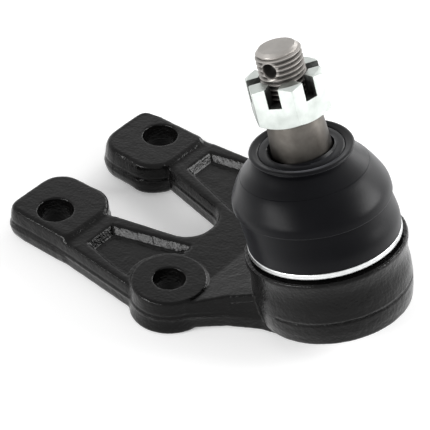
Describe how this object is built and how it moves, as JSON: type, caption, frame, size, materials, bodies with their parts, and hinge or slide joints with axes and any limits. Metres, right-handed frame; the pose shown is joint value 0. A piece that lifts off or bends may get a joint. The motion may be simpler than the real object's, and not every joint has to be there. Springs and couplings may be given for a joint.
{
  "type": "suspension ball joint",
  "caption": "Lower suspension ball joint: forged two-legged bolt-on bracket with a tilted ball housing, rubber dust boot, tapered ball stud and slotted nut.",
  "frame": {"origin": "midway between the two end bolt holes, on the top face of the end pads", "axes": "+X from the end bolt holes towards the ball housing, +Z out of the pads' top face towards the stud side, +Y to the left when looking along +X"},
  "size_m": [0.1325, 0.0826, 0.094],
  "materials": {
    "black_enamel": "gloss",
    "bare_steel": "satin",
    "zinc_plate": "satin",
    "seat_plastic": "matte",
    "spring_steel": "satin",
    "boot_rubber": "satin",
    "bright_steel": "gloss"
  },
  "bodies": {
    "bracket_body": {"bracket": "black_enamel", "bottom_cover": "black_enamel", "pressure_plate": "bare_steel", "disc_spring": "spring_steel", "boot_clamp_ring": "bright_steel"},
    "seat_body": {"upper_seat": "seat_plastic", "lower_seat": "seat_plastic"},
    "boot_body": {"dust_boot": "boot_rubber"},
    "stud_body": {"ball_stud": "bare_steel"},
    "nut_body": {"slotted_nut": "zinc_plate"}
  },
  "joints": [
    {"name": "swivel", "type": "hinge", "parent": "bracket_body", "child": "seat_body", "pos_m": [0.09107, 0, 0.01218], "axis": [-0.2267, 0, 0.974], "continuous": true},
    {"name": "swing", "type": "hinge", "parent": "seat_body", "child": "boot_body", "pos_m": [0.09107, 0, 0.01218], "axis": [0, 1, 0], "range_deg": [-15.5, 24.5], "deforming": ["dust_boot"]},
    {"name": "stud_spin", "type": "hinge", "parent": "boot_body", "child": "stud_body", "pos_m": [0.09107, 0, 0.01218], "axis": [-0.3024, 0, 0.9532], "continuous": true},
    {"name": "nut_run", "type": "slide", "parent": "stud_body", "child": "nut_body", "axis": [-0.3024, 0, 0.9532], "range_m": [0, 0.0235]}
  ]
}
